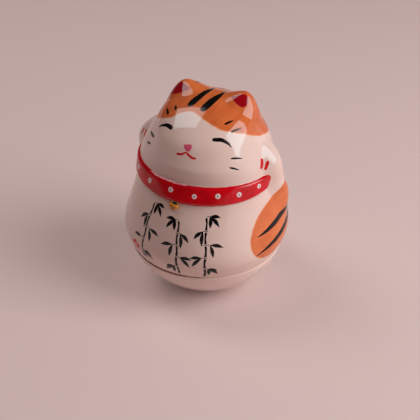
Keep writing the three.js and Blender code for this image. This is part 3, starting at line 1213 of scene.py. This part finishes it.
def addGroup(tree, group, inputs=None):
    made = tree.nodes.new("ShaderNodeGroup")
    made.node_tree = group
    setInputs(tree, made, inputs or {})
    return made


def objectPlace(tree):
    return addNode(tree, "TexCoord").outputs["Object"]


def attributeValue(tree, name):
    return addNode(tree, "Attribute", attribute_name=name).outputs["Fac"]


def addBump(tree, shader, height, distance):
    bump = addNode(tree, "Bump", {"Height": height, "Distance": distance, "Strength": 1.0})
    tree.links.new(bump.outputs[0], shader.inputs["Normal"])


def mixColors(tree, share, first, second):
    mix = addNode(tree, "Mix", {0: share, 6: first, 7: second}, data_type="RGBA")
    return mix.outputs[2]


def ramp(tree, value, low, high, start=0.0, end=1.0):
    spread = addNode(
        tree, "MapRange", {0: value, 1: low, 2: high, 3: start, 4: end}, interpolation_type="SMOOTHSTEP"
    )
    return spread.outputs[0]


def calculate(tree, operation, first, second):
    return addNode(tree, "Math", {0: first, 1: second}, operation=operation).outputs[0]


def times(tree, first, second):
    return calculate(tree, "MULTIPLY", first, second)


def plus(tree, first, second):
    return calculate(tree, "ADD", first, second)


def noise(tree, vector, scale, detail=2.0, roughness=0.5):
    inputs = {"Vector": vector, "Scale": scale, "Detail": detail, "Roughness": roughness}
    return addNode(tree, "TexNoise", inputs).outputs["Fac"]


def fromNoise(tree, value, start=0.0, end=1.0):  # noise seldom leaves the range from 0.3 to 0.7
    return ramp(tree, value, 0.3, 0.7, start, end)


def newGroup(name, inputs, outputs):  # inputs as {name: value}
    group = bpy.data.node_groups.new(name, "ShaderNodeTree")
    for key, value in inputs.items():
        socket = group.interface.new_socket(key, in_out="INPUT", socket_type="NodeSocketFloat")
        socket.default_value = value
    for key in outputs:
        group.interface.new_socket(key, in_out="OUTPUT", socket_type="NodeSocketFloat")
    start = group.nodes.new("NodeGroupInput")
    end = group.nodes.new("NodeGroupOutput")
    return group, start, end


fired = {                     # scales of its noises, and what they do to height, roughness and tone
    "waves": 130,
    "peel": 620,
    "peelShare": 0.05,
    "polish": 85,
    "roughness": (0.035, 0.085),
    "clouds": 48,
}
brushed = {                   # scales of the noises in painted areas, and their shares
    "edge": 420,
    "fineEdge": 1700,
    "fineShare": 0.35,
    "streaks": 520,
    "streakStretch": (1.0, 0.16, 0.4),  # they run along Y
    "streakContrast": (0.34, 0.66),
    "patches": 150,
    "patchShare": 0.4,
}


def glazeSurfaceGroup():  # the fired glaze: slow waves, a little orange peel, and clouds of tone
    group, start, end = newGroup("glaze_surface", {"Waves": 1.0}, ("Height", "Roughness", "Cloud"))
    place = objectPlace(group)
    waves = times(group, noise(group, place, fired["waves"], 1.5), start.outputs["Waves"])
    peel = times(group, noise(group, place, fired["peel"]), fired["peelShare"])
    polish = ramp(group, noise(group, place, fired["polish"], 3.0), 0.3, 0.75, *fired["roughness"])
    cloud = fromNoise(group, noise(group, place, fired["clouds"], 2.5))
    setInputs(group, end, {"Height": plus(group, waves, peel), "Roughness": polish, "Cloud": cloud})
    return group


def brushedEdgeGroup():  # a hand-painted area from its distance field
    inputs = {"Inside": 0.0, "Wobble": 0.15, "Softness": 0.1, "Thinning": 1.0}
    group, start, end = newGroup("brushed_edge", inputs, ("Mask", "Fullness"))
    place = objectPlace(group)
    coarse = calculate(group, "SUBTRACT", noise(group, place, brushed["edge"], 1.5), 0.5)
    fine = calculate(group, "SUBTRACT", noise(group, place, brushed["fineEdge"]), 0.5)
    shift = plus(group, coarse, times(group, fine, brushed["fineShare"]))
    shift = times(group, shift, times(group, start.outputs["Wobble"], 4.0))  # noise swings by about a quarter
    inside = plus(group, start.outputs["Inside"], shift)
    below = times(group, start.outputs["Softness"], -1.0)
    mask = ramp(group, inside, below, start.outputs["Softness"])
    fullness = ramp(group, inside, below, start.outputs["Thinning"])
    setInputs(group, end, {"Mask": mask, "Fullness": fullness})
    return group


def brushStreaksGroup():  # faint streaks that a loaded brush leaves
    group, start, end = newGroup("brush_streaks", {"Width": 1.0}, ("Streaks",))
    place = objectPlace(group)
    stretched = addNode(group, "Mapping", {"Vector": place, "Scale": brushed["streakStretch"]}).outputs[0]
    scale = calculate(group, "DIVIDE", brushed["streaks"], start.outputs["Width"])
    streak = times(group, noise(group, stretched, scale, 3.0, 0.6), 1 - brushed["patchShare"])
    patch = times(group, noise(group, place, brushed["patches"]), brushed["patchShare"])
    setInputs(group, end, {"Streaks": ramp(group, plus(group, streak, patch), *brushed["streakContrast"])})
    return group


glazeSurface = glazeSurfaceGroup()
brushedEdge = brushedEdgeGroup()
brushStreaks = brushStreaksGroup()

glazeLook = {
    "white": srgb(238, 206, 196),
    "cloud": srgb(231, 198, 187),
    "headOrange": (srgb(206, 98, 50), srgb(220, 112, 60)),
    "flankOrange": (srgb(212, 104, 56), srgb(228, 120, 68)),
    "orangeThin": srgb(240, 166, 122),
    "red": srgb(218, 5, 24),
    "redDeep": srgb(192, 3, 16),
    "redThin": srgb(222, 20, 36),
    "earRed": srgb(160, 6, 22),
    "patchEdge": {"Wobble": 0.12, "Softness": 0.12, "Thinning": 0.7},
    "earEdge": {"Wobble": 0.1, "Softness": 0.08, "Thinning": 0.5},
    "collarEdge": {"Wobble": 0.05, "Softness": 0.06, "Thinning": 0.3},
    "streakWidth": 1.0,
    "waves": 1.0,
    "waveDepth": 0.000014,
    "ior": 1.46,
    "shineTint": (0.6, 0.94, 1.0, 1.0),  # window light is cooler than the warm glaze
}


def paintedArea(tree, name, edge):
    return addGroup(tree, brushedEdge, {"Inside": attributeValue(tree, name), **edge}).outputs


def firedSurface(tree):
    return addGroup(tree, glazeSurface, {"Waves": glazeLook["waves"]}).outputs


def glazeOver(tree, shader, surface, color, roughness):
    setInputs(tree, shader, {
        "Base Color": color,
        "Roughness": roughness,
        "IOR": glazeLook["ior"],
        "Specular Tint": glazeLook["shineTint"],
    })
    addBump(tree, shader, surface["Height"], glazeLook["waveDepth"])


def bodyGlaze():
    material, tree, shader = newMaterial("painted_glaze")
    look = glazeLook
    surface = firedSurface(tree)
    streaks = addGroup(tree, brushStreaks, {"Width": look["streakWidth"]}).outputs["Streaks"]
    color = mixColors(tree, surface["Cloud"], look["white"], look["cloud"])
    for name, oranges in (("headPatch", look["headOrange"]), ("sidePatch", look["flankOrange"])):
        patch = paintedArea(tree, name, look["patchEdge"])
        orange = mixColors(tree, streaks, *oranges)
        orange = mixColors(tree, patch["Fullness"], look["orangeThin"], orange)
        color = mixColors(tree, patch["Mask"], color, orange)
    ears = paintedArea(tree, "earLining", look["earEdge"])
    color = mixColors(tree, ears["Mask"], color, look["earRed"])
    band = paintedArea(tree, "collarBand", look["collarEdge"])
    red = mixColors(tree, streaks, look["redDeep"], look["red"])
    red = mixColors(tree, band["Fullness"], look["redThin"], red)
    color = mixColors(tree, band["Mask"], color, red)
    glazeOver(tree, shader, surface, color, surface["Roughness"])
    return material


bareLook = {
    "colors": (srgb(206, 190, 172), srgb(226, 212, 196)),
    "grain": 2600,
    "roughness": 0.85,
    "depth": 0.00003,
}


def bareCeramic():
    material, tree, shader = newMaterial("bare_ceramic", bareLook["roughness"])
    grain = noise(tree, objectPlace(tree), bareLook["grain"], 3.0)
    setInputs(tree, shader, {"Base Color": mixColors(tree, grain, *bareLook["colors"])})
    addBump(tree, shader, grain, bareLook["depth"])
    return material


bowlLook = {
    "glaze": (srgb(242, 214, 205), srgb(236, 206, 196)),
    "foot": (srgb(196, 174, 156), srgb(216, 198, 182)),
    "glazeLine": (0.00012, 0.00035),  # heights between which the bare foot turns into glaze
}


def bowlGlaze():
    material, tree, shader = newMaterial("bowl_glaze")
    surface = firedSurface(tree)
    place = objectPlace(tree)
    height = addNode(tree, "SeparateXYZ", {0: place}).outputs["Z"]
    aboveLine = ramp(tree, height, *bowlLook["glazeLine"])
    glaze = mixColors(tree, surface["Cloud"], *bowlLook["glaze"])
    foot = mixColors(tree, noise(tree, place, bareLook["grain"], 3.0), *bowlLook["foot"])
    rough = addNode(tree, "Mix", {0: aboveLine, 2: bareLook["roughness"], 3: surface["Roughness"]}).outputs[0]
    glazeOver(tree, shader, surface, mixColors(tree, aboveLine, foot, glaze), rough)
    return material


enamelLook = {
    "black_enamel": {"full": srgb(8, 7, 7), "thin": srgb(52, 42, 40), "dryness": 0.3},
    "ink_enamel": {"full": srgb(12, 11, 12), "thin": srgb(60, 48, 45), "dryness": 0.35},
    "red_enamel": {"full": srgb(206, 4, 18), "thin": srgb(220, 40, 48), "dryness": 0.3},
    "pink_enamel": {"full": srgb(212, 80, 114), "thin": srgb(224, 116, 140), "dryness": 0.3},
}
enamelFinish = {
    "ior": 1.33,
    "roughness": (0.084, 0.18),
    "bristles": 4.5,
    "stretch": 1.6,           # of their noise along a stroke
    "bristleShare": 0.5,
    "dry": (0.75, 1.45),      # where along a stroke the paint runs dry, with the bristles' share added
    "clouds": 700,
    "cloudShare": 0.12,
}


def enamel(name):  # the paint thins and streaks towards the end of a stroke
    look = enamelLook[name]
    material, tree, shader = newMaterial(name)
    along = attributeValue(tree, "strokeAlong")
    across = attributeValue(tree, "strokeAcross")
    finish = enamelFinish
    onStroke = addNode(tree, "CombineXYZ", {0: times(tree, along, finish["stretch"]), 1: across}).outputs[0]
    bristles = noise(tree, onStroke, finish["bristles"], 3.0, 0.6)
    cloud = noise(tree, objectPlace(tree), finish["clouds"])
    dry = ramp(tree, plus(tree, times(tree, bristles, finish["bristleShare"]), along), *finish["dry"])
    amount = plus(tree, times(tree, dry, look["dryness"]), times(tree, cloud, finish["cloudShare"]))
    setInputs(tree, shader, {
        "Base Color": mixColors(tree, amount, look["full"], look["thin"]),
        "Roughness": fromNoise(tree, cloud, *finish["roughness"]),
        "IOR": finish["ior"],
    })
    surface = firedSurface(tree)
    addBump(tree, shader, surface["Height"], glazeLook["waveDepth"])
    return material


dotLook = {
    "white": (srgb(240, 222, 220), srgb(226, 204, 203)),
    "point": srgb(176, 96, 112),
    "pointSize": (0.2, 0.46),  # shares of the dot's radius, over which the point ends
    "clouds": 900,
    "roughness": 0.14,
    "depth": 0.00001,
}


def dotEnamel():  # white, with a mauve point in the middle of each dot
    material, tree, shader = newMaterial("dot_enamel", dotLook["roughness"])
    outsidePoint = ramp(tree, attributeValue(tree, "strokeAlong"), *dotLook["pointSize"])
    cloud = noise(tree, objectPlace(tree), dotLook["clouds"])
    white = mixColors(tree, cloud, *dotLook["white"])
    setInputs(tree, shader, {"Base Color": mixColors(tree, outsidePoint, dotLook["point"], white)})
    addBump(tree, shader, cloud, dotLook["depth"])
    return material


goldLook = {
    "colors": (srgb(188, 108, 30), srgb(232, 156, 56)),
    "clouds": 900,
    "roughness": (0.34, 0.52),
    "metallic": 0.2,
    "depth": 0.00003,
}


def goldPaint():
    material, tree, shader = newMaterial("gold_paint")
    cloud = noise(tree, objectPlace(tree), goldLook["clouds"], 3.0)
    setInputs(tree, shader, {
        "Base Color": mixColors(tree, cloud, *goldLook["colors"]),
        "Roughness": fromNoise(tree, cloud, *goldLook["roughness"]),
        "Metallic": goldLook["metallic"],
    })
    addBump(tree, shader, cloud, goldLook["depth"])
    return material


glueLook = {
    # brown: the glue's own colour, deepened as painted shade; pale: painted light where the seam is lit
    "brown": (srgb(120, 78, 58), srgb(166, 120, 96)),
    "pale": srgb(222, 186, 172),
    "paintedLitSide": (-0.004, 0.02),  # metres towards the cat's left, between which the brown with painted shade turns to pale painted light
    "paintedLitSideEdge": (0.1, 0.9),
    "uneven": 1.2,            # share of the grain in that change
    "grain": 420,
    "roughness": (0.35, 0.7),
    "depth": 0.00006,
}


def dryGlue():  # the glue's own brown, kept as painted shade on the side away from the lamps, turns to pale painted light on the lit side
    material, tree, shader = newMaterial("dry_glue")
    place = objectPlace(tree)
    aside = addNode(tree, "SeparateXYZ", {0: place}).outputs["X"]
    grain = noise(tree, place, glueLook["grain"], 3.0)
    uneven = times(tree, calculate(tree, "SUBTRACT", grain, 0.5), glueLook["uneven"])
    # painted shade and light: brown on the cat's right side, away from the lamps, and pale on its lit left
    # side
    paintedLitSide = ramp(tree, plus(tree, ramp(tree, aside, *glueLook["paintedLitSide"]), uneven), *glueLook["paintedLitSideEdge"])
    brown = mixColors(tree, grain, *glueLook["brown"])
    setInputs(tree, shader, {
        "Base Color": mixColors(tree, paintedLitSide, brown, glueLook["pale"]),
        "Roughness": fromNoise(tree, grain, *glueLook["roughness"]),
    })
    addBump(tree, shader, grain, glueLook["depth"])
    return material


cementLook = {
    "greys": (srgb(150, 147, 140), srgb(182, 179, 171)),
    "stain": srgb(128, 124, 116),
    "sand": 2200,
    "stains": 120,
    "stained": (0.4, 0.7, 0, 0.5),  # noise where a stain starts and is full, and its strength there
    "roughness": 0.95,
    "depth": 0.00012,
}


def pouredCement():
    material, tree, shader = newMaterial("poured_cement", cementLook["roughness"])
    place = objectPlace(tree)
    sand = noise(tree, place, cementLook["sand"], 4.0, 0.65)
    stained = ramp(tree, noise(tree, place, cementLook["stains"], 3.0), *cementLook["stained"])
    grey = mixColors(tree, sand, *cementLook["greys"])
    setInputs(tree, shader, {"Base Color": mixColors(tree, stained, grey, cementLook["stain"])})
    addBump(tree, shader, sand, cementLook["depth"])
    return material


ironLook = {
    "iron": srgb(66, 66, 69),
    "rust": srgb(104, 66, 46),
    "rustPatches": 230,
    "rusted": (0.56, 0.7),    # noise from which rust starts, and where it is full
    "grain": 1500,
    "metallic": (0.9, 0.1),   # of clean iron and of rust
    "roughness": (0.5, 0.75),
    "depth": 0.00015,
}


def castIron():
    material, tree, shader = newMaterial("cast_iron")
    place = objectPlace(tree)
    grain = noise(tree, place, ironLook["grain"], 4.0, 0.6)
    rust = ramp(tree, noise(tree, place, ironLook["rustPatches"], 4.0), *ironLook["rusted"])
    setInputs(tree, shader, {
        "Base Color": mixColors(tree, rust, ironLook["iron"], ironLook["rust"]),
        "Metallic": ramp(tree, rust, 0.0, 1.0, *ironLook["metallic"]),
        "Roughness": fromNoise(tree, grain, *ironLook["roughness"]),
    })
    addBump(tree, shader, grain, ironLook["depth"])
    return material


def paint(piece, *materials):
    piece.data.materials.clear()
    for material in materials:
        piece.data.materials.append(material)


blackEnamel = enamel("black_enamel")
paint(body, bodyGlaze(), bareCeramic())
for polygon in body.data.polygons[glazedFaces:]:
    polygon.material_index = 1
paint(dish, bowlGlaze())
paint(bead, dryGlue())
paint(blackWork, blackEnamel)
paint(bambooWork, enamel("ink_enamel"))
paint(redWork, enamel("red_enamel"))
paint(nose, enamel("pink_enamel"))
paint(collarDots, dotEnamel())
paint(bellBall, goldPaint())
paint(bellWork, blackEnamel)
paint(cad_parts["cement_bed"], pouredCement())
paint(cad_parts["ballast_slug"], castIron())
print("materials:", len(bpy.data.materials))


# Camera, lights and floor

view = {
    "turn": 25.0,
    "elevation": 35.0,
    "distance": 450.0,
    "aside": 1.2,             # the picture's middle, to the right of the figure's axis
    "targetHeight": 28.5,
    "pixelsPerMillimetre": 2.73,
    "frame": 420,
}
light = {
    "boxes": {
        "right_window": {"toward": (0.785, 0.07, 0.616), "size": (0.36, 0.43), "power": 2.9},
        "right_wall": {"toward": (0.95, 0.2, 0.17), "size": (1.4, 0.3), "power": 0.95},
        "left_window": {
            "toward": (-0.53, 0.04, 0.85), "size": (0.27, 0.34), "power": 1.2, "color": (1.0, 0.95, 0.93),
        },
    },
    "away": 0.6,              # metres from a point on the figure's axis
    "height": 0.055,          # of that point
    "room": 0.07,             # strength of the light from all round
    "roomColor": srgb(214, 196, 192),
}
backdrop = {
    "color": srgb(203, 177, 173),
    "floorColor": srgb(229, 203, 199),
    "floorRoughness": 0.75,
    "floorRadius": 2.4,
    "paleness": 0.25,         # share of the backdrop's tone in the floor, which softens the shadow
    "underFigure": (0.008, 0.021),  # metres from its middle, over which that share comes in
    "nearFloor": 0.22,        # metres from the figure: the floor's own look ends here
    "farFloor": 0.5,          # and has become the backdrop's here
    "reflectedTo": (-0.03, 0.07),  # how high it shows in gloss, as the sine of the height
}


def addObject(name, data):
    made = bpy.data.objects.new(name, data)
    bpy.context.collection.objects.link(made)
    return made


def addCamera():
    data = bpy.data.cameras.new("camera")
    camera = addObject("camera", data)
    turn, rise = math.radians(view["turn"]), math.radians(view["elevation"])
    target = Vector((view["aside"] * math.cos(turn), view["aside"] * math.sin(turn), view["targetHeight"]))
    back = Vector((math.sin(turn) * math.cos(rise), -math.cos(turn) * math.cos(rise), math.sin(rise)))
    camera.location = (target + back * view["distance"]) * mm
    camera.rotation_euler = back.to_track_quat("Z", "Y").to_euler()
    data.sensor_width = 36
    seen = view["frame"] / view["pixelsPerMillimetre"]
    data.lens = data.sensor_width * view["distance"] / seen
    data.clip_start = 0.01
    data.clip_end = 10
    bpy.context.scene.camera = camera


def addSoftBox(name, toward, size, power, color=(1.0, 1.0, 1.0)):
    data = bpy.data.lights.new(name, "AREA")
    data.shape = "RECTANGLE"
    data.size, data.size_y = size
    data.energy = power
    data.color = color
    box = addObject(name, data)
    direction = Vector(toward).normalized()
    box.location = Vector((0, 0, light["height"])) + direction * light["away"]
    box.rotation_euler = direction.to_track_quat("Z", "Y").to_euler()


def seenRays(tree):  # what the camera, gloss and glass see; and gloss and glass alone
    path = addNode(tree, "LightPath").outputs
    gloss = calculate(tree, "MAXIMUM", path["Is Glossy Ray"], path["Is Transmission Ray"])
    return calculate(tree, "MAXIMUM", path["Is Camera Ray"], gloss), gloss


def mixIntoOutput(tree, share, first, second, outputKind):
    mix = addNode(tree, "MixShader", {0: share, 1: first.outputs[0], 2: second.outputs[0]})
    tree.links.new(mix.outputs[0], nodeOf(tree, outputKind).inputs["Surface"])


def addFloor():
    floor = addCircle("floor", 128, backdrop["floorRadius"], fill="NGON")
    material, tree, shader = newMaterial("pale_floor", backdrop["floorRoughness"])
    shader.inputs["Base Color"].default_value = backdrop["floorColor"]
    away = addNode(tree, "VectorMath", {0: objectPlace(tree)}, operation="LENGTH").outputs["Value"]
    near = ramp(tree, away, *backdrop["underFigure"], 0.0, backdrop["paleness"])
    far = ramp(tree, away, backdrop["nearFloor"], backdrop["farFloor"])
    share = times(tree, calculate(tree, "MAXIMUM", near, far), seenRays(tree)[0])
    pale = addNode(tree, "Emission", {"Color": backdrop["color"], "Strength": 1.0})
    mixIntoOutput(tree, share, shader, pale, "OUTPUT_MATERIAL")
    floor.data.materials.append(material)


def addRoom():  # dim light from all round, behind a pale backdrop
    world = bpy.data.worlds.new("room")
    bpy.context.scene.world = world
    world.use_nodes = True
    tree = world.node_tree
    dim = tree.nodes["Background"]
    setInputs(tree, dim, {"Color": light["roomColor"], "Strength": light["room"]})
    seen, gloss = seenRays(tree)
    direction = addNode(tree, "TexCoord").outputs["Generated"]
    height = addNode(tree, "SeparateXYZ", {0: direction}).outputs["Z"]
    above = ramp(tree, height, *backdrop["reflectedTo"])
    share = calculate(tree, "SUBTRACT", seen, times(tree, gloss, above))
    pale = addNode(tree, "Background", {"Color": backdrop["color"], "Strength": 1.0})
    mixIntoOutput(tree, share, dim, pale, "OUTPUT_WORLD")


addCamera()
for name, settings in light["boxes"].items():
    addSoftBox(name, **settings)
addFloor()
addRoom()
bpy.context.scene.view_settings.view_transform = "Standard"
print("camera,", len(light["boxes"]), "lamps, floor and backdrop")

# Each dressed piece rides on the root body, and three imported parts are hidden. The slot listed beside each
# piece is not used.

slots = {
    body: "body_glaze",
    dish: "bowl_glaze",
    bead: "glue",
    blackWork: "painted_black",
    bambooWork: "painted_black",
    bellWork: "painted_black",
    redWork: "painted_red",
    nose: "painted_red",
    collarDots: "painted_white",
    bellBall: "painted_gold",
}
for piece, slot in slots.items():
    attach(piece, "root")
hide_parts("body_shell")
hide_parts("base_bowl")
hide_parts("seam_glue")
